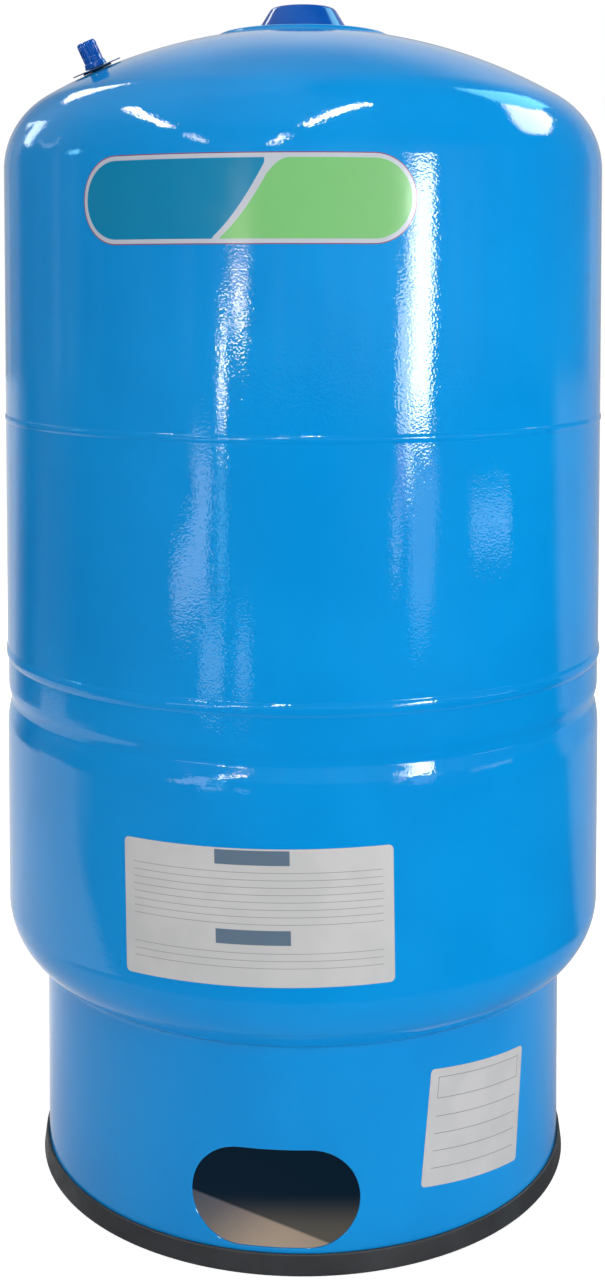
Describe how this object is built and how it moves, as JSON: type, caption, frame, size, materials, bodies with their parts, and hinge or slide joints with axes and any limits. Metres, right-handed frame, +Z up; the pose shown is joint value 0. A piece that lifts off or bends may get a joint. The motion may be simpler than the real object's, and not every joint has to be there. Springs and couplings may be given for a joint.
{
  "type": "well pressure tank",
  "caption": "Upright steel diaphragm pressure tank on a round stand, with weld beads, a rolled waist, a capped air valve and an elbow fitting under the bowl.",
  "frame": {"origin": "on the floor under the tank's vertical axis", "axes": "+Z up along the tank's axis, the labelled front with the pipe opening faces -Y"},
  "size_m": [0.4022, 0.4022, 0.7726],
  "materials": {
    "blue_enamel": "gloss enamel over drawn steel",
    "bare_steel": "turned or rolled steel",
    "stainless": "cast and machined stainless steel",
    "black_nylon": "moulded black nylon",
    "brass": "turned brass",
    "foot_rubber": "extruded rubber",
    "seal_rubber": "moulded rubber",
    "butyl": "moulded butyl rubber",
    "polypropylene": "moulded polypropylene",
    "cap_plastic": "moulded blue plastic",
    "decal_vinyl": "printed vinyl",
    "label_film": "white label film"
  },
  "bodies": {
    "tank": {"upper_shell": "blue_enamel", "middle_shell": "blue_enamel", "lower_shell": "blue_enamel", "base_skirt": "blue_enamel", "base_ring": "foot_rubber", "liner": "polypropylene", "diaphragm": "butyl", "hoop_ring": "bare_steel", "water_elbow": "stainless", "inlet_seal": "seal_rubber", "inlet_nut": "stainless", "flow_diffuser": "polypropylene", "crown_boss": "bare_steel", "valve_stem": "brass", "valve_inner_seal": "seal_rubber", "valve_gasket": "seal_rubber", "valve_washer": "black_nylon", "valve_nut": "brass", "valve_core": "brass", "front_decal": "decal_vinyl", "notice_label": "label_film", "rating_label": "label_film"},
    "top_cap": {"top_cap": "cap_plastic"},
    "valve_cap": {"valve_cap": "cap_plastic", "valve_cap_seal": "seal_rubber"},
    "valve_pin": {"valve_pin": "brass"}
  },
  "joints": [
    {"name": "top_cap_lift", "type": "slide", "parent": "tank", "child": "top_cap", "axis": [0, 0, 1], "range_m": [0, 0.04]},
    {"name": "valve_cap_lift", "type": "slide", "parent": "tank", "child": "valve_cap", "axis": [-0.3899, -0.1599, 0.9069], "range_m": [0, 0.03]},
    {"name": "valve_pin_press", "type": "slide", "parent": "tank", "child": "valve_pin", "axis": [0.3899, 0.1599, -0.9069], "range_m": [0, 0.001], "stiffness_N_per_m": 1500}
  ]
}
